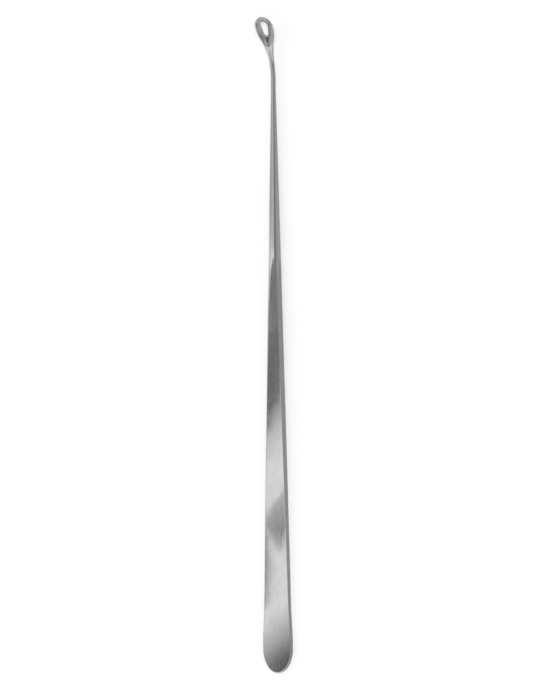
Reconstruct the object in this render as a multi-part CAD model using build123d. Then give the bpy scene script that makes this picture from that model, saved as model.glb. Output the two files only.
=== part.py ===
import os
from math import asin, atan, cos, degrees, radians, sin, sqrt

from build123d import *

os.makedirs("parts", exist_ok=True)

# All lengths are millimetres. A station is a distance from the tail of the
# handle, measured along the straight axis of the shank.

overall_length = 280.0  # tail of the handle to the tip of the bowl

# Handle: a tapered round bar with two ground flats that close in on the tail
tail_width = 13.3  # the widest place, just before the rounded tail
tail_round_length = 10.5  # length of the half ellipse that rounds the tail off
waist_width = 11.7  # where the slight flare of the tail begins
waist_station = 30.0
tail_thickness = 2.2  # across the flats, at the tail
flats_length = 175.0  # the flats run out on the round shank here
edge_radius = 0.3  # softening all along the edges of the handle

# Shank: the same taper, fully round, down to a slim neck
neck_diameter = 2.0
neck_station = 248.6  # the taper ends here

# The neck bends forward, towards the open face of the bowl
bend_radius = 29.7
bend_angle = 31.2  # degrees

# Bowl: a flattened teardrop on the bent axis, rounded at the tip
bowl_width = 8.34
bowl_front = 0.7  # the front stands this far before the axis at the widest section
bowl_back = 1.1  # and the back this far behind it
bowl_tip_length = 5.5  # from the widest section to the tip
bowl_past_bend = 8.5  # from the end of the bend to the widest section
flare_length = 16.8  # the neck swells to the full width over this length
flare_leave = 9.0  # how far the swelling stays close to the neck's size
flare_arrive = 5.6  # how far it stays close to the full width
neck_sections = 3  # lofted sections along the plain neck
flare_sections = 6  # and along the swelling

# The front is scooped out to a crest, and the back is pierced by a window
dish_width = 6.4
dish_depth = 1.13
dish_height = 0.8  # the dish is turned about a line this far before the axis
dish_tip_length = 4.6  # from the widest section towards the tip
dish_length = 8.6  # from the widest section towards the neck
dish_end_radius = 1.0
window_width = 3.4  # of the wide round end, near the tip
window_end_width = 2.4  # of the narrow round end, near the neck
window_length = 7.0
window_tip_length = 3.1  # from the widest section towards the tip

# Sizes that follow from the ones above
neck_radius = neck_diameter / 2
bowl_half_width = bowl_width / 2
bowl_half_depth = (bowl_front + bowl_back) / 2
bowl_centre = (bowl_front - bowl_back) / 2
taper = (waist_width / 2 - neck_radius) / (neck_station - waist_station)
bend = radians(bend_angle)
bend_length = bend_radius * bend
widest_distance = bend_length + bowl_past_bend
flare_distance = widest_distance - flare_length
tip_reach = sqrt((bowl_tip_length * cos(bend)) ** 2 + (bowl_half_depth * sin(bend)) ** 2)
centre_reach = bowl_past_bend * cos(bend) - bowl_centre * sin(bend)
bend_station = overall_length - bend_radius * sin(bend) - centre_reach - tip_reach
flats_spread = (neck_radius + taper * (neck_station - flats_length) - tail_thickness / 2) / flats_length


def blend(start, leave, arrive, end, share):
    # Cubic curve through two end values, with a handle near each
    rest = 1.0 - share
    return rest**3 * start + 3 * rest**2 * share * leave + 3 * rest * share**2 * arrive + share**3 * end


def section_plane(distance, height=0.0):
    # Plane across the bent axis, at a distance past the start of the bend; the
    # height moves it towards the open face
    angle = min(distance / bend_radius, bend)
    straight = max(distance - bend_length, 0.0)
    along = bend_station + bend_radius * sin(angle) + straight * cos(angle)
    across = bend_radius * (1 - cos(angle)) + straight * sin(angle)
    origin = (0, along - height * sin(angle), across + height * cos(angle))
    return Plane(origin=origin, x_dir=(1, 0, 0), z_dir=(0, cos(angle), sin(angle)))


def slim_round_bar(end):
    # The round bar less the edge radius all over, turned about the shank's axis
    half_tail = tail_width / 2 - edge_radius
    half_waist = waist_width / 2 - edge_radius
    slim_neck = neck_radius - edge_radius
    third = (waist_station - tail_round_length) / 3
    tail = EllipticalCenterArc(
        (0, tail_round_length),
        half_tail,
        tail_round_length - edge_radius,
        start_angle=270,
        arc_size=90,
    )
    flare = Bezier(
        (half_tail, tail_round_length),
        (half_tail, tail_round_length + third),
        (half_waist + taper * third, waist_station - third),
        (half_waist, waist_station),
    )
    shank = Polyline(
        (half_waist, waist_station),
        (slim_neck, neck_station),
        (slim_neck, end),
        (0, end),
        (0, edge_radius),
    )
    return revolve(make_face([tail, flare, shank]), Axis.Y)


def slim_wedge(end):
    # The space between the flats less the edge radius, seen from the side
    half_start = tail_thickness / 2 - edge_radius
    half_end = half_start + flats_spread * end
    side = Polyline((0, -half_start), (end, -half_end), (end, half_end), (0, half_start), close=True)
    return extrude(Plane.YZ * make_face(side), amount=tail_width, both=True)


def handle_and_shank():
    # A slim core grown by the edge radius has every edge rounded by it; the bar is
    # made too long and cut square where the bend begins
    end = bend_station + 4 * edge_radius
    core = slim_round_bar(end) & slim_wedge(end)
    grown = offset(core, amount=edge_radius, kind=Kind.ARC)
    square = Plane.XZ.offset(-bend_station) * Rectangle(tail_width, tail_width)
    return grown - extrude(square, amount=-tail_width)


def neck_and_bowl():
    # Round sections along the neck widen into flattened ones, then half an ellipsoid
    sections = []
    for number in range(neck_sections):
        distance = flare_distance * number / neck_sections
        sections.append(section_plane(distance) * Circle(neck_radius))
    for number in range(flare_sections):
        share = number / (flare_sections - 1)
        distance = blend(
            flare_distance,
            flare_distance + flare_leave,
            widest_distance - flare_arrive,
            widest_distance,
            share,
        )
        half_width = blend(neck_radius, neck_radius, bowl_half_width, bowl_half_width, share)
        half_depth = blend(neck_radius, neck_radius, bowl_half_depth, bowl_half_depth, share)
        height = blend(0, 0, bowl_centre, bowl_centre, share)
        sections.append(section_plane(distance, height) * Ellipse(half_width, half_depth))
    tip = scale(Sphere(1.0), by=(bowl_half_width, bowl_half_depth, bowl_tip_length))
    tip = split(tip, Plane.XY, keep=Keep.TOP)
    return loft(sections) + section_plane(widest_distance, bowl_centre) * tip


def dish():
    # A smaller teardrop, turned and then pressed flat
    radius = dish_width / 2
    neck_end = dish_end_radius - dish_length
    tip = EllipticalCenterArc((0, 0), radius, dish_tip_length, start_angle=0, arc_size=90)
    side = Bezier(
        (dish_end_radius, neck_end),
        (dish_end_radius, neck_end / 2),
        (radius, neck_end / 2),
        (radius, 0),
    )
    end = CenterArc((0, neck_end), dish_end_radius, 270, 90)
    axis = Line((0, dish_tip_length), (0, -dish_length))
    drop = Rot(X=90) * revolve(make_face([tip, side, end, axis]), Axis.Y)
    flat = scale(drop, by=(1, dish_depth / radius, 1))
    return section_plane(widest_distance, dish_height) * flat


def window_outline():
    # Two round ends joined by the straight lines that touch them both
    wide = window_width / 2
    narrow = window_end_width / 2
    wide_centre = window_tip_length - wide
    narrow_centre = window_tip_length - window_length + narrow
    slope = asin((wide - narrow) / (wide_centre - narrow_centre))
    wide_touch = (wide_centre - wide * sin(slope), wide * cos(slope))
    narrow_touch = (narrow_centre - narrow * sin(slope), narrow * cos(slope))
    return make_face([
        Line(narrow_touch, wide_touch),
        ThreePointArc(wide_touch, (window_tip_length, 0), (wide_touch[0], -wide_touch[1])),
        Line((wide_touch[0], -wide_touch[1]), (narrow_touch[0], -narrow_touch[1])),
        ThreePointArc(
            (narrow_touch[0], -narrow_touch[1]),
            (window_tip_length - window_length, 0),
            narrow_touch,
        ),
    ])


def window():
    # Cut square to the bowl's axis, from the front right through the back
    front = section_plane(widest_distance, dish_height)
    plane = Plane(origin=front.origin, x_dir=front.z_dir, z_dir=front.y_dir)
    return extrude(plane * window_outline(), amount=bowl_width)


curette = handle_and_shank() + neck_and_bowl() - dish() - window()

# It lies on its back: the rear flat is level on the ground
curette = Rot(X=degrees(atan(flats_spread))) * curette
box = curette.bounding_box()
curette = Pos(0, -box.center().Y, -box.min.Z) * curette
export_step(curette, "parts/curette.step")
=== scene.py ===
import math

import bmesh
import bpy
import numpy as np
from mathutils import Matrix


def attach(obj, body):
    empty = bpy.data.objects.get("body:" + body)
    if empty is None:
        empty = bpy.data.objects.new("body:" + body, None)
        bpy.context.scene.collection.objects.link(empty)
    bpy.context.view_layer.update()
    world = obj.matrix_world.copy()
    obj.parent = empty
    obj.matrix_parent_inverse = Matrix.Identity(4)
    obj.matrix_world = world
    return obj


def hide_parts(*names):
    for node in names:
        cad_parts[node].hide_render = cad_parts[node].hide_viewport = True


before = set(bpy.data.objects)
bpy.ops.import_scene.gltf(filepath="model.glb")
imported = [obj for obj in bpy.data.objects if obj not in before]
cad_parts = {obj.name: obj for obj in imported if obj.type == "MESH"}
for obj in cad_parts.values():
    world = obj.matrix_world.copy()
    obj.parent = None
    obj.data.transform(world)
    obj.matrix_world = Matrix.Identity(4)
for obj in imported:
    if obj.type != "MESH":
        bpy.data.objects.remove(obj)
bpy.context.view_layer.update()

print("stage 1: frame loaded")

# What a user would change on the curette, in millimetres. A station is a distance
# from the tail along the shank; a distance is measured past the start of the bend.
curette = {
    "length": 280.0,
    "tailWidth": 13.3,
    "tailRound": 10.5,        # length of the rounded end of the handle
    "waistWidth": 11.7,
    "waistStation": 30.0,
    "tailThickness": 2.2,
    "flatsLength": 175.0,
    "edgeRadius": 0.3,
    "neckRadius": 1.0,
    "neckStation": 248.6,
    "bendRadius": 29.7,
    "bendDegrees": 31.2,
    "bowlHalfWidth": 4.17,
    "bowlFront": 0.7,
    "bowlBack": 1.1,
    "bowlTip": 5.5,
    "bowlPastBend": 8.5,
    "flareLength": 16.8,
    "flareLeave": 9.0,
    "flareArrive": 5.6,
    "dishHalfWidth": 3.2,
    "dishDepth": 1.13,
    "dishHeight": 0.8,
    "dishTip": 4.6,
    "dishLength": 8.6,
    "dishEndRadius": 1.0,
    "windowWide": 1.7,        # radius of the round end near the tip
    "windowNarrow": 1.2,      # radius of the round end near the neck
    "windowLength": 7.0,
    "windowTip": 3.1,
    "windowEdge": 0.2,        # softening of the window's edges
    "crestSoftness": 0.06,    # softening of the crest round the dish
    "cutBehind": 9.9,         # the bowl's grid takes over from the neck's here
}

halfPi = math.pi / 2
millimetre = 0.001            # in metres
bend = math.radians(curette["bendDegrees"])
bendLength = curette["bendRadius"] * bend
widestDistance = bendLength + curette["bowlPastBend"]
flareStart = widestDistance - curette["flareLength"]
bowlHalfDepth = (curette["bowlFront"] + curette["bowlBack"]) / 2
bowlCentre = (curette["bowlFront"] - curette["bowlBack"]) / 2
narrowing = curette["waistWidth"] / 2 - curette["neckRadius"]
taper = narrowing / (curette["neckStation"] - curette["waistStation"])
shankAtFlats = curette["neckRadius"] + taper * (curette["neckStation"] - curette["flatsLength"])
flatsSpread = (shankAtFlats - curette["tailThickness"] / 2) / curette["flatsLength"]
tipReach = math.hypot(curette["bowlTip"] * math.cos(bend), bowlHalfDepth * math.sin(bend))
centreReach = curette["bowlPastBend"] * math.cos(bend) - bowlCentre * math.sin(bend)
bendStation = curette["length"] - curette["bendRadius"] * math.sin(bend) - centreReach - tipReach

# How finely the skin is made
steps = {
    "quarter": 20,            # columns in a quarter of the round shank
    "edge": 7,                # columns over each softened edge of the flats
    "flatPlaces": (0.985, 0.94, 0.8, 0.5, 0.2),   # columns on half a flat, as shares of its half width
    "noseRows": 8,            # rows from the very tail to the start of the flats
    "tailRows": 44,           # round the rest of the tail
    "tailCrowding": 1.3,      # how much these crowd towards the nose
    "flareRows": 14,
    "handleRows": 64,
    "shankRows": 30,
    "collarRows": 5,          # from the end of the taper to the bend
    "neckRows": 52,
    "bowlSide": 26,           # columns from the neck to the window's straight side
    "sideCrowding": 1.5,      # how much these crowd towards the neck
    "bowlStraight": 22,       # columns along the window's straight side
    "bowlRound": 52,          # columns round the window's wide end
    "filletRows": 7,          # over the softened edge of the window
    "dishRows": 17,           # from there to the crest
    "crestRows": 15,          # over the crest
    "crestBand": 0.3,         # which is this wide at each side, in millimetres, but at most
    "crestRoom": (0.45, 0.35),    # these shares of the way to the window and to the edge
    "rimRows": 13,            # from the crest to the outer edge
    "backRows": 23,
    "wallRows": 3,            # down the wall of the window
    "flarePoints": 2001,      # points that the neck's swelling is looked up from
    "dishPoints": 400,        # and the side of the dish
    "halvings": 40,           # of a span in which an edge is looked for
    "mergeDistance": 4e-7,    # points closer than this are one, in metres
    "smallestEdge": 1e-7,
}


def cubicBlend(start, leave, arrive, end, share):
    # Weights (1-t)^3, 3(1-t)^2 t, 3(1-t) t^2 and t^3 on four values
    rest = 1 - share
    return rest**3 * start + 3 * rest**2 * share * leave + 3 * rest * share**2 * arrive + share**3 * end


def bisect(low, high, isInside):
    # Halves the span again and again, keeping the place where the test turns from true to false
    low = np.array(low, float)
    high = np.array(high, float)
    for _ in range(steps["halvings"]):
        middle = (low + high) / 2
        inside = isInside(middle)
        low = np.where(inside, middle, low)
        high = np.where(inside, high, middle)
    return (low + high) / 2


def onSpine(distance, height, across):
    # Circular arc, then its tangent: the point at a distance along it, moved by a
    # height along the arc's inward normal and by an amount across
    angle = np.clip(distance / curette["bendRadius"], None, bend)
    straight = np.clip(distance - bendLength, 0, None)
    along = bendStation + curette["bendRadius"] * np.sin(angle) + straight * np.cos(angle)
    up = curette["bendRadius"] * (1 - np.cos(angle)) + straight * np.sin(angle)
    return np.stack([across + 0 * angle, along - height * np.sin(angle), up + height * np.cos(angle)], -1)


def coreOutline(angles, shares, stations):
    # Side of the bar less its edge radius, as radius and station, with the outward
    # direction: a quarter ellipse, a cubic curve and a straight taper
    edge = curette["edgeRadius"]
    halfTail = curette["tailWidth"] / 2 - edge
    halfWaist = curette["waistWidth"] / 2 - edge
    reach = curette["tailRound"] - edge
    third = (curette["waistStation"] - curette["tailRound"]) / 3
    tailRadius = halfTail * np.sin(angles)
    tailStation = curette["tailRound"] - reach * np.cos(angles)
    tailOut = np.stack([np.sin(angles) / halfTail, -np.cos(angles) / reach])
    flareRadius = cubicBlend(halfTail, halfTail, halfWaist + taper * third, halfWaist, shares)
    flareStation = curette["tailRound"] + 3 * third * shares
    inwards = 6 * (1 - shares) * shares * (halfWaist + taper * third - halfTail)
    slope = 3 * shares**2 * (-taper * third) + inwards
    flareOut = np.stack([3 * third + 0 * shares, -slope])
    taperRadius = halfWaist - taper * (stations - curette["waistStation"])
    taperRadius = np.maximum(taperRadius, curette["neckRadius"] - edge)
    leaning = np.where(stations < curette["neckStation"], taper, 0)
    taperOut = np.stack([1 + 0 * stations, leaning])
    out = np.concatenate([tailOut, flareOut, taperOut], 1)
    out = out / np.hypot(out[0], out[1])
    radius = np.concatenate([tailRadius, flareRadius, taperRadius])
    station = np.concatenate([tailStation, flareStation, stations])
    return radius, station, out


def barColumns():
    # One turn round the bar, from the right side over the front and the back: share
    # of the side's angle, share of the edge's turn, place across the flat, and side
    quarter = np.arange(steps["quarter"] + 1) / steps["quarter"]
    turn = np.arange(1, steps["edge"] + 1) / steps["edge"]
    across = np.array(steps["flatPlaces"])
    angleShare = np.concatenate([quarter, 1 + 0 * turn, 1 + 0 * across])
    edgeShare = np.concatenate([0 * quarter, turn, 1 + 0 * across])
    place = np.concatenate([1 + 0 * quarter, 1 + 0 * turn, across])
    angleShare = np.concatenate([angleShare, angleShare[::-1]])
    edgeShare = np.concatenate([edgeShare, edgeShare[::-1]])
    place = np.concatenate([place, -place[::-1]])
    front = np.ones(len(place))
    inner = slice(1, -1)
    return (
        np.concatenate([angleShare, angleShare[::-1][inner]]),
        np.concatenate([edgeShare, edgeShare[::-1][inner]]),
        np.concatenate([place, place[::-1][inner]]),
        np.concatenate([front, -front[inner]]),
    )


def barSurface(radius, station, out, columns):
    # Core point plus the edge radius along a direction. The core point is on a circle,
    # cut by the flats; the direction turns from the side's to the flat's over the edge
    angleShare, edgeShare, place, face = columns
    edge = curette["edgeRadius"]
    halfFlat = curette["tailThickness"] / 2 - edge + flatsSpread * station
    widestAngle = np.arcsin(np.clip(halfFlat / np.maximum(radius, 1e-9), 0, 1))[:, None]
    angle = widestAngle * angleShare
    handed = np.sign(place)
    sideways = np.cos(angle) * handed
    upwards = np.sin(angle) * face
    outRound, outAlong = out[0][:, None], out[1][:, None]
    sideOut = np.stack([outRound * sideways, outAlong + 0 * angle, outRound * upwards], -1)
    flatOut = np.stack([0 * place, -flatsSpread + 0 * place, face], -1)[None] + 0 * sideOut
    flatOut = flatOut / np.linalg.norm(flatOut, axis=-1, keepdims=True)
    between = np.arccos(np.clip((sideOut * flatOut).sum(-1), -1, 1))
    spread = np.sin(np.maximum(between, 1e-6))
    ratio = np.where(between > 1e-4, np.sin(edgeShare * between) / spread, edgeShare)
    stay = np.where(between > 1e-4, np.sin((1 - edgeShare) * between) / spread, 1 - edgeShare)
    direction = sideOut * stay[..., None] + flatOut * ratio[..., None]
    across = radius[:, None] * np.cos(angle) * place
    core = np.stack([across, station[:, None] + 0 * angle, radius[:, None] * upwards], -1)
    return core + edge * direction


def flareShares():
    # Distance along the neck and share of the swelling are both curves of one share
    share = np.linspace(0, 1, steps["flarePoints"])
    distance = cubicBlend(
        flareStart,
        flareStart + curette["flareLeave"],
        widestDistance - curette["flareArrive"],
        widestDistance,
        share,
    )
    return distance, share


def sectionSizes(distance):
    # Half width, half depth and centre height of the plain neck and bowl
    knownDistance, knownShare = flareShares()
    share = np.interp(distance, knownDistance, knownShare)
    thin = curette["neckRadius"]
    halfWidth = cubicBlend(thin, thin, curette["bowlHalfWidth"], curette["bowlHalfWidth"], share)
    halfDepth = cubicBlend(thin, thin, bowlHalfDepth, bowlHalfDepth, share)
    centre = cubicBlend(0, 0, bowlCentre, bowlCentre, share)
    return halfWidth, halfDepth, centre


def shellHeights(across, along):
    # Front and back of the bowl before it is dished: an ellipse at each place along,
    # which shrinks as the root of 1 - (along / tip)^2 past the widest one
    halfWidth, halfDepth, centre = sectionSizes(widestDistance + np.minimum(along, 0))
    beyond = (np.maximum(along, 0) / curette["bowlTip"]) ** 2
    rise = halfDepth * np.sqrt(np.clip(1 - beyond - (across / halfWidth) ** 2, 0, None))
    return centre + rise, centre - rise


def dishHeights(across, along):
    # A turned drop pressed flat: below its axis by the root of radius^2 - across^2, and
    # steeply up outside it
    steepness = 3
    radius = curette["dishHalfWidth"]
    neckEnd = curette["dishEndRadius"] - curette["dishLength"]
    share = np.linspace(0, 1, steps["dishPoints"])
    sideAlong = cubicBlend(neckEnd, neckEnd / 2, neckEnd / 2, 0, share)
    sideRadius = cubicBlend(curette["dishEndRadius"], curette["dishEndRadius"], radius, radius, share)
    local = np.interp(along, sideAlong, sideRadius)
    roundTip = radius * np.sqrt(np.clip(1 - (along / curette["dishTip"]) ** 2, 0, None))
    local = np.where(along > 0, roundTip, local)
    endDrop = np.sqrt(np.clip(curette["dishEndRadius"] ** 2 - (along - neckEnd) ** 2, 0, None))
    local = np.where(along < neckEnd, endDrop, local)
    depth = curette["dishDepth"] / radius * np.sqrt(np.clip(local**2 - across**2, 0, None))
    outside = np.clip(np.abs(across) - local, 0, None) + np.clip(along - curette["dishTip"], 0, None)
    outside = outside + np.clip(-curette["dishLength"] - along, 0, None)
    return curette["dishHeight"] - depth + steepness * outside


def frontHeights(across, along):
    # The lower of shell and dish, rounded where they cross by a soft minimum
    shell = shellHeights(across, along)[0]
    dish = dishHeights(across, along)
    soft = curette["crestSoftness"]
    lower = np.minimum(shell, dish)
    higher = np.maximum(shell, dish)
    return lower - soft * np.log1p(np.exp(-(higher - lower) / soft))


def windowColumns():
    # One turn round the window's outline, as a circle's centre, its radius and a
    # direction: two round ends joined by the straight lines that touch them both
    wide = curette["windowWide"]
    narrow = curette["windowNarrow"]
    wideCentre = curette["windowTip"] - wide
    narrowCentre = curette["windowTip"] - curette["windowLength"] + narrow
    touch = halfPi - math.asin((wide - narrow) / (wideCentre - narrowCentre))
    cut = -curette["cutBehind"]
    neckTurn = np.linspace(0, math.pi, 2 * steps["quarter"] + 1)
    cutAcross = sectionSizes(np.array([widestDistance + cut]))[0] * np.cos(neckTurn)
    towardsNeck = np.arctan2(cutAcross, narrowCentre - cut)
    corner = towardsNeck[0]
    crowded = np.linspace(0, 1, steps["bowlSide"] + 1) ** steps["sideCrowding"]
    side = corner + (touch - corner) * crowded
    straight = np.linspace(0, 1, steps["bowlStraight"] + 1)
    roundEnd = np.linspace(-touch, touch - 2 * math.pi, steps["bowlRound"] + 1)
    angle = np.concatenate([
        towardsNeck,
        -side[1:],
        -touch + 0 * straight[1:],
        roundEnd[1:],
        touch + 0 * straight[1:],
        side[::-1][1:-1],
    ])
    wideness = np.concatenate([
        0 * towardsNeck,
        0 * side[1:],
        straight[1:],
        1 + 0 * roundEnd[1:],
        straight[::-1][1:],
        0 * side[1:-1],
    ])
    centre = narrowCentre + (wideCentre - narrowCentre) * wideness
    radius = narrow + (wide - narrow) * wideness
    return centre, radius, angle


def bowlSurface():
    # Rays leave the window's outline squarely. Along each, the front comes from the
    # outer edge over the crest and down the dish to the window, and the back returns
    centre, radius, angle = windowColumns()
    outX = np.sin(angle)
    outL = -np.cos(angle)
    startX = radius * outX
    startL = centre + radius * outL
    cut = -curette["cutBehind"]
    far = np.full(len(angle), curette["cutBehind"])
    none = np.zeros(len(angle))

    def insideShell(t):
        across = startX + t * outX
        along = startL + t * outL
        halfWidth = sectionSizes(widestDistance + np.minimum(along, 0))[0]
        beyond = (np.maximum(along, 0) / curette["bowlTip"]) ** 2
        return (along > cut) & (beyond + (across / halfWidth) ** 2 < 1)

    edgeReach = bisect(none, far, insideShell)

    def insideDish(t):
        across = startX + t * outX
        along = startL + t * outL
        return dishHeights(across, along) < shellHeights(across, along)[0]

    crestReach = bisect(none, edgeReach, insideDish)
    soft = curette["windowEdge"]
    roomBefore, roomAfter = steps["crestRoom"]
    before = np.minimum(steps["crestBand"], roomBefore * (crestReach - soft))
    after = np.minimum(steps["crestBand"], roomAfter * (edgeReach - crestReach))
    turn = np.linspace(0, halfPi, steps["filletRows"])[:, None]
    fillet = soft - soft * np.cos(turn)
    drop = soft - soft * np.sin(turn)

    def spaced(low, high, shares):
        return low + (high - low) * shares[:, None]

    dishShares = np.linspace(0, 1, steps["dishRows"])[1:]
    crestShares = np.linspace(0, 1, steps["crestRows"])[1:]
    rimShares = np.sin(np.linspace(0, halfPi, steps["rimRows"]))[1:]
    backShares = np.sin(np.linspace(0, halfPi, steps["backRows"]))[1:]
    frontReach = np.concatenate([
        fillet + 0 * edgeReach,
        spaced(soft, crestReach - before, dishShares),
        spaced(crestReach - before, crestReach + after, crestShares),
        spaced(crestReach + after, edgeReach, rimShares),
    ])
    backReach = np.concatenate([fillet + 0 * edgeReach, spaced(soft, edgeReach, backShares)])
    frontX = startX + frontReach * outX
    frontL = startL + frontReach * outL
    backX = startX + backReach * outX
    backL = startL + backReach * outL
    frontHeight = frontHeights(frontX, frontL)
    backHeight = shellHeights(backX, backL)[1]
    softened = slice(steps["filletRows"])
    frontHeight[softened] = frontHeight[softened] - drop
    backHeight[softened] = backHeight[softened] + drop
    frontHeight[-1] = shellHeights(frontX[-1], frontL[-1])[0]
    wallShares = np.linspace(0, 1, steps["wallRows"] + 2)[1:-1]
    wallHeight = spaced(frontHeight[0], backHeight[0], wallShares)
    wallX = startX + 0 * wallHeight
    wallL = startL + 0 * wallHeight
    across = np.concatenate([frontX[::-1], wallX, backX])
    along = np.concatenate([frontL[::-1], wallL, backL])
    height = np.concatenate([frontHeight[::-1], wallHeight, backHeight])
    return onSpine(widestDistance + along, height, across)


def gridQuads(rows, columns, first):
    # Quads of a grid that closes on itself across
    index = first + np.arange(rows * columns).reshape(rows, columns)
    right = np.roll(index, -1, 1)
    return np.stack([index[:-1], right[:-1], right[1:], index[1:]], -1).reshape(-1, 4)


def restOnBack(points):
    # Turned about X by the flats' spread, so that the rear flat is level, then centred
    turn = math.atan(flatsSpread)
    turned = points.copy()
    turned[:, 1] = points[:, 1] * math.cos(turn) - points[:, 2] * math.sin(turn)
    turned[:, 2] = points[:, 1] * math.sin(turn) + points[:, 2] * math.cos(turn)
    turned[:, 1] -= (turned[:, 1].min() + turned[:, 1].max()) / 2
    turned[:, 2] -= turned[:, 2].min()
    return turned * millimetre


def curetteSurfaces():
    # The nose, the handle between its flats, the round shank, the neck and the bowl
    edge = curette["edgeRadius"]
    halfTail = curette["tailWidth"] / 2 - edge
    reach = curette["tailRound"] - edge

    def insideNose(angle):
        flat = curette["tailThickness"] / 2 - edge
        flat = flat + flatsSpread * (curette["tailRound"] - reach * np.cos(angle))
        return halfTail * np.sin(angle) < flat

    noseAngle = float(bisect(0.0, 1.0, insideNose))
    columns = barColumns()
    roundOnly = columns[1] == 0
    roundColumns = tuple(part[roundOnly] for part in columns)
    empty = np.zeros(0)
    noseAngles = noseAngle * np.linspace(0, 1, steps["noseRows"])
    nose = barSurface(*coreOutline(noseAngles, empty, empty), roundColumns)
    crowded = np.linspace(0, 1, steps["tailRows"]) ** steps["tailCrowding"]
    tailAngles = noseAngle + (halfPi - noseAngle) * crowded
    flare = np.linspace(0, 1, steps["flareRows"])[1:-1]
    handleSpan = curette["flatsLength"] - curette["waistStation"]
    stations = curette["waistStation"] + handleSpan * np.sin(np.linspace(0, halfPi, steps["handleRows"]))
    handle = barSurface(*coreOutline(tailAngles, flare, stations), columns)
    shankStations = np.concatenate([
        np.linspace(curette["flatsLength"], curette["neckStation"], steps["shankRows"]),
        np.linspace(curette["neckStation"], bendStation, steps["collarRows"])[1:],
    ])
    shank = barSurface(*coreOutline(empty, empty, shankStations), roundColumns)
    distance = np.linspace(0, widestDistance - curette["cutBehind"], steps["neckRows"])[:, None]
    halfWidth, halfDepth, centre = sectionSizes(distance)
    turn = np.linspace(0, 2 * math.pi, 4 * steps["quarter"], endpoint=False)
    neck = onSpine(distance, centre + halfDepth * np.sin(turn), halfWidth * np.cos(turn))
    return [nose, handle, shank, neck, bowlSurface()]


def meshFromSurfaces(name, surfaces):
    # Joins the grids into one closed skin: the seams are merged and the faces look outwards
    points = np.concatenate([s.reshape(-1, 3) for s in surfaces])
    counts = np.cumsum([0] + [s.shape[0] * s.shape[1] for s in surfaces])
    quads = np.concatenate([gridQuads(s.shape[0], s.shape[1], first) for s, first in zip(surfaces, counts)])
    mesh = bpy.data.meshes.new(name)
    mesh.from_pydata(restOnBack(points).tolist(), [], quads.tolist())
    worked = bmesh.new()
    worked.from_mesh(mesh)
    bmesh.ops.remove_doubles(worked, verts=worked.verts, dist=steps["mergeDistance"])
    bmesh.ops.dissolve_degenerate(worked, edges=worked.edges, dist=steps["smallestEdge"])
    bmesh.ops.recalc_face_normals(worked, faces=worked.faces)
    openEdges = sum(1 for e in worked.edges if len(e.link_faces) != 2)
    volume = worked.calc_volume() / millimetre**3
    worked.to_mesh(mesh)
    worked.free()
    mesh.shade_smooth()
    print("   ", name, len(mesh.polygons), "faces,", openEdges, "open edges,", round(volume, 1), "mm3")
    return mesh


bodyMesh = meshFromSurfaces("curetteBody", curetteSurfaces())
body = bpy.data.objects.new("curetteBody", bodyMesh)
bpy.context.scene.collection.objects.link(body)
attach(body, "root")
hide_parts("curette")
print("stage 2: curette modelled")

# What a user would change on the steel, in metres where it is a length
steel = {
    "colour": 0.66,               # share of the light that is mirrored
    "colourRange": 0.03,          # faint clouds in it, up and down
    "roughness": 0.12,
    "roughnessRange": 0.05,
    "cloudSize": 0.009,           # of the clouds in the roughness
    "stainSize": 0.0054,          # of those in the colour
    "stainTurn": 60.0,
    "lineWidth": 0.00022,         # polish lines run along the instrument
    "lineLength": 0.016,
    "lineRoughness": 0.05,
    "lineHeight": 0.0000007,
    "waveWidth": 0.007,           # gentle waviness left by the grinding
    "waveLength": 0.014,
    "waveHeight": 0.00004,
    "scratchWidth": 0.00012,      # a few fine scratches from use, at two angles
    "scratchLength": 0.007,
    "scratchTurns": (28.0, -41.0),
    "scratchRange": (0.72, 0.8),  # the noise is a scratch where it rises through this
    "scratchRoughness": 0.1,
    "scratchHeight": 0.000001,
    "satinStart": 0.116,          # from here to the tip the finish grows more satin
    "satinEnd": 0.13,
    "satinRoughness": 0.06,
    "noiseRange": (0.3, 0.7),     # what the other noises are taken to run between
    "grain": 0.6,                 # strength of each finer layer of a noise
}


def stretchedNoise(tree, place, sizes, turn, detail):
    # Noise whose grain is as long as the sizes along X, Y and Z, turned about Z
    nodes = tree.nodes
    mapping = nodes.new("ShaderNodeMapping")
    mapping.vector_type = "POINT"
    mapping.inputs["Scale"].default_value = tuple(1 / size for size in sizes)
    turned = nodes.new("ShaderNodeVectorRotate")
    turned.rotation_type = "Z_AXIS"
    turned.inputs["Angle"].default_value = math.radians(turn)
    noise = nodes.new("ShaderNodeTexNoise")
    noise.inputs["Scale"].default_value = 1.0
    noise.inputs["Detail"].default_value = detail
    noise.inputs["Roughness"].default_value = steel["grain"]
    tree.links.new(place, turned.inputs["Vector"])
    tree.links.new(turned.outputs["Vector"], mapping.inputs["Vector"])
    tree.links.new(mapping.outputs["Vector"], noise.inputs["Vector"])
    return noise.outputs["Fac"]


def remap(tree, value, low, high, start, end):
    # Straight line from start to end while the value goes from low to high
    node = tree.nodes.new("ShaderNodeMapRange")
    node.inputs["From Min"].default_value = low
    node.inputs["From Max"].default_value = high
    node.inputs["To Min"].default_value = start
    node.inputs["To Max"].default_value = end
    tree.links.new(value, node.inputs["Value"])
    return node.outputs["Result"]


def addUp(tree, values):
    # The sum of several values
    total = values[0]
    for value in values[1:]:
        node = tree.nodes.new("ShaderNodeMath")
        node.operation = "ADD"
        tree.links.new(total, node.inputs[0])
        tree.links.new(value, node.inputs[1])
        total = node.outputs["Value"]
    return total


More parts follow.
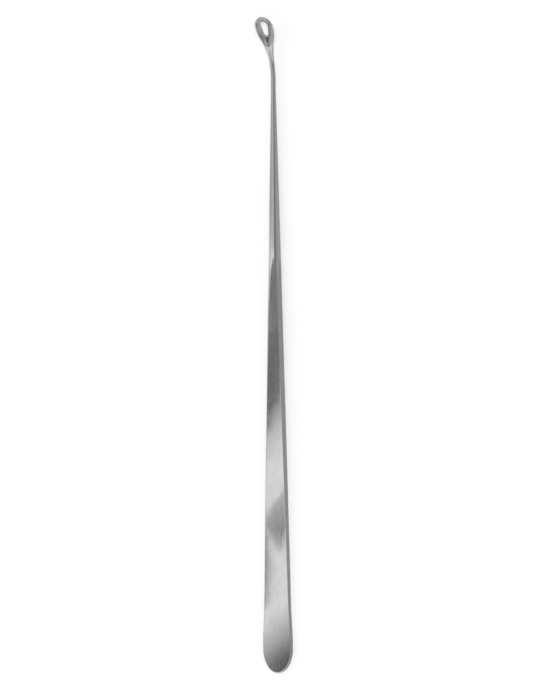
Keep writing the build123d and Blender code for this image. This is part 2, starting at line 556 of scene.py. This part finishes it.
def bumped(tree, height, distance, normal):
    # The normal tilted by the slope of a height, which is times a distance
    node = tree.nodes.new("ShaderNodeBump")
    node.inputs["Strength"].default_value = 1.0
    node.inputs["Distance"].default_value = distance
    tree.links.new(height, node.inputs["Height"])
    if normal is not None:
        tree.links.new(normal, node.inputs["Normal"])
    return node.outputs["Normal"]


def steelMaterial():
    # Mirror-like grey metal: clouds, polish lines, scratches and the satin head add up to
    # its roughness, and waves, lines and scratches tilt it
    material = bpy.data.materials.new("satinPolishedSteel")
    material.use_nodes = True
    tree = material.node_tree
    links = tree.links
    shader = tree.nodes["Principled BSDF"]
    place = tree.nodes.new("ShaderNodeTexCoord").outputs["Object"]
    clouds = stretchedNoise(tree, place, (steel["cloudSize"],) * 3, 0.0, 3.0)
    stains = stretchedNoise(tree, place, (steel["stainSize"],) * 3, steel["stainTurn"], 2.0)
    lineSizes = (steel["lineWidth"], steel["lineLength"], steel["lineWidth"])
    lines = stretchedNoise(tree, place, lineSizes, 0.0, 2.0)
    waveSizes = (steel["waveWidth"], steel["waveLength"], steel["waveWidth"])
    waves = stretchedNoise(tree, place, waveSizes, 0.0, 0.0)
    scratches = []
    for turn in steel["scratchTurns"]:
        sizes = (steel["scratchWidth"], steel["scratchLength"], steel["scratchLength"])
        marks = stretchedNoise(tree, place, sizes, turn, 0.0)
        scratches.append(remap(tree, marks, *steel["scratchRange"], 0.0, 1.0))
    scratched = addUp(tree, scratches)
    separate = tree.nodes.new("ShaderNodeSeparateXYZ")
    links.new(place, separate.inputs["Vector"])
    along = separate.outputs["Y"]
    satin = remap(tree, along, steel["satinStart"], steel["satinEnd"], 0.0, steel["satinRoughness"])
    low, high = steel["noiseRange"]
    rough, roughRange = steel["roughness"], steel["roughnessRange"]
    roughness = addUp(tree, [
        remap(tree, clouds, low, high, rough - roughRange, rough + roughRange),
        remap(tree, lines, low, high, -steel["lineRoughness"] / 2, steel["lineRoughness"] / 2),
        remap(tree, scratched, 0.0, 1.0, 0.0, steel["scratchRoughness"]),
        satin,
    ])
    links.new(roughness, shader.inputs["Roughness"])
    pale, paleRange = steel["colour"], steel["colourRange"]
    grey = remap(tree, stains, low, high, pale - paleRange, pale + paleRange)
    colour = tree.nodes.new("ShaderNodeCombineColor")
    for channel in ("Red", "Green", "Blue"):
        links.new(grey, colour.inputs[channel])
    links.new(colour.outputs["Color"], shader.inputs["Base Color"])
    shader.inputs["Metallic"].default_value = 1.0
    normal = bumped(tree, waves, steel["waveHeight"], None)
    normal = bumped(tree, lines, steel["lineHeight"], normal)
    normal = bumped(tree, scratched, steel["scratchHeight"], normal)
    links.new(normal, shader.inputs["Normal"])
    return material


bodyMesh.materials.append(steelMaterial())
print("stage 3: steel made")

# What a user would change in the studio, in metres where it is a length
studio = {
    "tiltDegrees": 25.0,      # the camera leans this far to the right of straight above
    "rollDegrees": 0.274,
    "cameraDistance": 4.0,
    "sensorWidth": 36.0,      # of the camera, in millimetres
    "fieldHeight": 0.2939,    # what the picture shows from top to bottom, in metres
    "aim": (-0.00066, 0.00064, 0.0015),
    "floorHalf": 12.0,        # half the floor's width
    "floorColour": (0.9, 0.9, 0.9, 1.0),
    "floorRoughness": 0.9,
    "floorGlow": 0.17,        # added where the floor is seen or mirrored
    "skyForObject": 0.6,      # how strongly the sky lights things
    "sunStrength": 1.2,
    "sunDegrees": 12.0,
}


def addCamera():
    # A long lens, leaning to the right by the tilt and turned about its own line by the roll
    tilt = math.radians(studio["tiltDegrees"])
    roll = math.radians(studio["rollDegrees"])
    towards = np.array([math.sin(tilt), 0, math.cos(tilt)])
    side = np.array([math.cos(tilt), 0, -math.sin(tilt)])
    length = np.array([0.0, 1.0, 0.0])
    right = side * math.cos(roll) - length * math.sin(roll)
    upward = side * math.sin(roll) + length * math.cos(roll)
    place = np.array(studio["aim"]) + studio["cameraDistance"] * towards
    lens = bpy.data.cameras.new("studioCamera")
    lens.sensor_width = studio["sensorWidth"]
    lens.lens = studio["sensorWidth"] * studio["cameraDistance"] / studio["fieldHeight"]
    camera = bpy.data.objects.new("studioCamera", lens)
    turned = np.eye(4)
    turned[:3, 0] = right
    turned[:3, 1] = upward
    turned[:3, 2] = towards
    turned[:3, 3] = place
    camera.matrix_world = Matrix(turned.tolist())
    bpy.context.scene.collection.objects.link(camera)
    bpy.context.scene.camera = camera
    return towards


def litForSight(tree, lit, plain):
    # One strength for sight, mirrors and glass, another for everything else
    path = tree.nodes.new("ShaderNodeLightPath")
    either = tree.nodes.new("ShaderNodeMath")
    either.operation = "MAXIMUM"
    tree.links.new(path.outputs["Is Camera Ray"], either.inputs[0])
    tree.links.new(path.outputs["Is Glossy Ray"], either.inputs[1])
    every = tree.nodes.new("ShaderNodeMath")
    every.operation = "MAXIMUM"
    tree.links.new(either.outputs[0], every.inputs[0])
    tree.links.new(path.outputs["Is Transmission Ray"], every.inputs[1])
    strength = tree.nodes.new("ShaderNodeMapRange")
    strength.inputs["To Min"].default_value = plain
    strength.inputs["To Max"].default_value = lit
    tree.links.new(every.outputs[0], strength.inputs["Value"])
    return strength.outputs["Result"]


def addWorld():
    # White where it is seen or mirrored, and dimmer as a light
    world = bpy.data.worlds.new("studioSky")
    bpy.context.scene.world = world
    world.use_nodes = True
    tree = world.node_tree
    background = tree.nodes["Background"]
    background.inputs["Color"].default_value = (1.0, 1.0, 1.0, 1.0)
    tree.links.new(litForSight(tree, 1.0, studio["skyForObject"]), background.inputs["Strength"])


def addFloor():
    # Pale and plain, with a faint glow of its own that only sight and mirrors get
    half = studio["floorHalf"]
    corners = [(-half, -half, 0), (half, -half, 0), (half, half, 0), (-half, half, 0)]
    mesh = bpy.data.meshes.new("floor")
    mesh.from_pydata(corners, [], [(0, 1, 2, 3)])
    floor = bpy.data.objects.new("floor", mesh)
    bpy.context.scene.collection.objects.link(floor)
    material = bpy.data.materials.new("paleFloor")
    material.use_nodes = True
    tree = material.node_tree
    shader = tree.nodes["Principled BSDF"]
    shader.inputs["Base Color"].default_value = studio["floorColour"]
    shader.inputs["Roughness"].default_value = studio["floorRoughness"]
    shader.inputs["Specular IOR Level"].default_value = 0.0
    shader.inputs["Emission Color"].default_value = (1.0, 1.0, 1.0, 1.0)
    tree.links.new(litForSight(tree, studio["floorGlow"], 0.0), shader.inputs["Emission Strength"])
    mesh.materials.append(material)


def addSun():
    # Soft light from where the camera is, which mirrors don't show
    lamp = bpy.data.lights.new("softLamp", "SUN")
    lamp.energy = studio["sunStrength"]
    lamp.angle = math.radians(studio["sunDegrees"])
    sun = bpy.data.objects.new("softLamp", lamp)
    sun.rotation_euler = (0, math.radians(studio["tiltDegrees"]), 0)
    sun.visible_glossy = False
    bpy.context.scene.collection.objects.link(sun)


def addCard(
    name, corners, brightness, fade=(0.0, 0.0), centre=(0.0, 0.0), limits=(0.13, 1.0), oneSided=False
):
    # A flat card that only mirrors see. Its brightness holds at the centre and changes
    # along X and Y by the fade, for each metre, between the limits. A one-sided card is
    # clear from behind
    mesh = bpy.data.meshes.new(name)
    mesh.from_pydata(corners, [], [tuple(range(len(corners)))])
    card = bpy.data.objects.new(name, mesh)
    bpy.context.scene.collection.objects.link(card)
    material = bpy.data.materials.new(name)
    material.use_nodes = True
    tree = material.node_tree
    tree.nodes.remove(tree.nodes["Principled BSDF"])
    glow = tree.nodes.new("ShaderNodeEmission")
    if any(fade):
        slope = tree.nodes.new("ShaderNodeVectorMath")
        slope.operation = "DOT_PRODUCT"
        slope.inputs[1].default_value = (fade[0], fade[1], 0.0)
        tree.links.new(tree.nodes.new("ShaderNodeTexCoord").outputs["Object"], slope.inputs[0])
        start = -fade[0] * centre[0] - fade[1] * centre[1]
        darkest, lightest = limits
        low = darkest - brightness - start
        high = lightest - brightness - start
        strength = remap(tree, slope.outputs["Value"], low, high, darkest, lightest)
        tree.links.new(strength, glow.inputs["Strength"])
    else:
        glow.inputs["Strength"].default_value = brightness
    shown = glow.outputs["Emission"]
    if oneSided:
        sides = tree.nodes.new("ShaderNodeMixShader")
        clear = tree.nodes.new("ShaderNodeBsdfTransparent")
        tree.links.new(tree.nodes.new("ShaderNodeNewGeometry").outputs["Backfacing"], sides.inputs["Fac"])
        tree.links.new(shown, sides.inputs[1])
        tree.links.new(clear.outputs["BSDF"], sides.inputs[2])
        shown = sides.outputs["Shader"]
    tree.links.new(shown, tree.nodes["Material Output"].inputs["Surface"])
    mesh.materials.append(material)
    card.visible_camera = False
    card.visible_diffuse = False
    card.visible_transmission = False
    card.visible_shadow = False


# Cards that hang over the handle, each as the outline, in millimetres across and along
# the handle, of what the handle's front mirrors of it, how far over the front it hangs,
# its brightness at a centre and the fade of it, across and along, for each millimetre
handleCards = {
    "handleTop": {
        "outline": [
            (-3, 40.8), (75, 40.8), (75, -10), (10, -10), (4.4, -20.6), (-3.3, -36), (-9, -41.5), (-9, -20),
        ],
        "over": 60, "brightness": 0.21, "centre": (0, 0), "fade": (0, 0.0015),
    },
    "handleDusk": {
        "outline": [(-12, -28), (12, -14), (12, -56), (-12, -56)],
        "over": 62, "brightness": 0.8, "centre": (0, -40), "fade": (0.02, -0.018),
    },
    "handleMiddle": {
        "outline": [
            (-6.1, -74.5), (5, -62), (9, -62), (9, -70), (4.4, -80), (1.4, -90), (-0.5, -85.6),
            (-1.9, -82.4), (-3.3, -79.8), (-6.1, -77),
        ],
        "over": 60, "brightness": 0.41, "centre": (0, -77), "fade": (-0.02, 0.018),
    },
    "handleLeft": {
        "outline": [
            (-12, -78), (-5.6, -78), (-3.4, -84), (-3.4, -98), (-5.4, -107), (-6.2, -114), (-12, -114),
        ],
        "over": 58, "brightness": 0.42, "centre": (-5.35, -94), "fade": (0.3, -0.012),
    },
    "handleTail": {
        "outline": [(-12, -104), (30, -104), (30, -152), (-12, -152)],
        "over": 60, "brightness": 0.53, "centre": (0, -128), "fade": (-0.03, 0.036),
    },
}
frontHeight = 4.0             # of the handle's front over the floor, in millimetres
# Level cards further off and mats just over the floor, in metres: a fade is along the
# instrument, from a place on it
roomCards = {
    "shankSky": {"level": 0.1, "x": (-0.075, 0.017), "y": (0.0445, 0.3), "brightness": 0.6},
    "leftSky": {
        "level": 0.1, "x": (-0.35, -0.075), "y": (0.044, 0.3),
        "brightness": 0.8, "place": 0.048, "fade": -30, "limits": (0.55, 1),
    },
    "leftSkyLow": {
        "level": 0.1, "x": (-0.35, -0.075), "y": (-0.3, 0.038),
        "brightness": 0.73, "place": 0.028, "fade": 20, "limits": (0.45, 1),
    },
    "rightSky": {"level": 0.1, "x": (0.125, 0.35), "y": (0.037, 0.3), "brightness": 0.45},
    "rightSkyLow": {"level": 0.1, "x": (0.03, 0.35), "y": (-0.3, 0.037), "brightness": 0.3},
    "matLeft": {
        "level": 0.0003, "x": (-0.35, 0), "y": (0.038, 0.3),
        "brightness": 0.71, "place": 0.05, "fade": -25, "limits": (0.46, 1),
    },
    "matLeftLow": {
        "level": 0.0003, "x": (-0.35, 0), "y": (-0.3, 0.036),
        "brightness": 0.95, "place": 0.036, "fade": 25, "limits": (0.38, 1),
    },
    "matGlint": {"level": 0.0003, "x": (-0.35, 0), "y": (0.036, 0.038), "brightness": 1.0},
    "matRight": {"level": 0.0003, "x": (0, 0.35), "y": (0.036, 0.3), "brightness": 0.46},
    "matRightLow": {"level": 0.0003, "x": (0, 0.35), "y": (-0.3, 0.036), "brightness": 0.38},
}
# Upright cards at both sides, at a place across and with a brightness
wallCards = {"leftWall": (-0.35, 0.45), "rightWall": (0.35, 0.4)}
wallSize = {"halfLength": 0.3, "height": 0.1}
# One-sided cards beyond the handle, which only the head and the bent neck see
headCards = {
    "headShade": ([(-0.2, 0.047, 0.07), (-0.2, 0.04, 0.1), (0.2, 0.04, 0.1), (0.2, 0.047, 0.07)], 0.55),
    "neckLight": ([(-0.2, 0.06, 0.012), (-0.2, 0.047, 0.07), (0.2, 0.047, 0.07), (0.2, 0.06, 0.012)], 0.92),
}
# Small cards close before the bowl, as outlines in millimetres across and over the floor
bowlCards = {
    "dishShade": ([(-30, 18), (-30, 27), (-14, 31), (-3, 35), (-3, 14.9), (-6, 15.2), (-20, 15.2)], 0.13),
    "farShade": ([(-90, 17), (-90, 24), (-30, 26), (-30, 18)], 0.25),
    "dishSide": ([(-3, 27), (-3, 37), (14, 37), (14, 33), (9, 28)], 0.4),
    "rimSide": (
        [(-3, 14.9), (-3, 27), (9, 28), (13, 32), (13, 10), (9, 10), (6, 12), (3, 13.7), (1, 14.5)], 0.48,
    ),
    "rimShade": ([(-24, 8), (-26, 15.2), (-6, 15.2), (-7.5, 14.2), (-10, 12.8), (-15, 9.5)], 0.33),
}
bowlCardPlace = 118.0         # along the instrument, in millimetres
# The long dark screen that the camera looks past, in metres
screen = {
    "distance": 1.2,          # from the instrument, towards the camera
    "leftWidth": 0.3,
    "rightWidth": 0.62,
    "halfLength": 0.9,
    "brightness": 0.24,
}


def addCards(towards):
    # The camera looks down past the screen, which every round part mirrors. A handle card
    # is moved to where the front's mirrored rays go: against the camera's lean, and back by
    # twice the front's own lean
    side = np.array([towards[2], 0, -towards[0]])
    length = np.array([0.0, 1.0, 0.0])
    left, right, half = -screen["leftWidth"], screen["rightWidth"], screen["halfLength"]
    corners = [
        screen["distance"] * towards + x * side + y * length
        for x, y in ((left, -half), (right, -half), (right, half), (left, half))
    ]
    addCard("cameraScreen", [tuple(c) for c in corners], screen["brightness"])
    frontLean = 2 * flatsSpread
    for name, card in handleCards.items():
        lean = -card["over"] * towards[0] / towards[2]
        back = -card["over"] * 2 * frontLean
        level = (card["over"] + frontHeight) * millimetre
        corners = [((x + lean) * millimetre, (y + back) * millimetre, level) for x, y in card["outline"]]
        centre = ((card["centre"][0] + lean) * millimetre, (card["centre"][1] + back) * millimetre)
        fade = tuple(change / millimetre for change in card["fade"])
        addCard(name, corners, card["brightness"], fade, centre)
    for name, card in roomCards.items():
        (left, right), (near, far), level = card["x"], card["y"], card["level"]
        corners = [(left, near, level), (right, near, level), (right, far, level), (left, far, level)]
        fade = (0.0, card.get("fade", 0.0))
        centre = (0.0, card.get("place", 0.0))
        addCard(name, corners, card["brightness"], fade, centre, card.get("limits", (0, 1)))
    for name, (place, brightness) in wallCards.items():
        near, far, top = -wallSize["halfLength"], wallSize["halfLength"], wallSize["height"]
        corners = [(place, near, 0), (place, far, 0), (place, far, top), (place, near, top)]
        addCard(name, corners, brightness)
    for name, (corners, brightness) in headCards.items():
        addCard(name, corners, brightness, oneSided=True)
    for name, (outline, brightness) in bowlCards.items():
        corners = [(x * millimetre, bowlCardPlace * millimetre, z * millimetre) for x, z in outline]
        addCard(name, corners, brightness)


scene = bpy.context.scene
scene.view_settings.view_transform = "Standard"
towards = addCamera()
addWorld()
addFloor()
addSun()
addCards(towards)
print("stage 4: studio set")
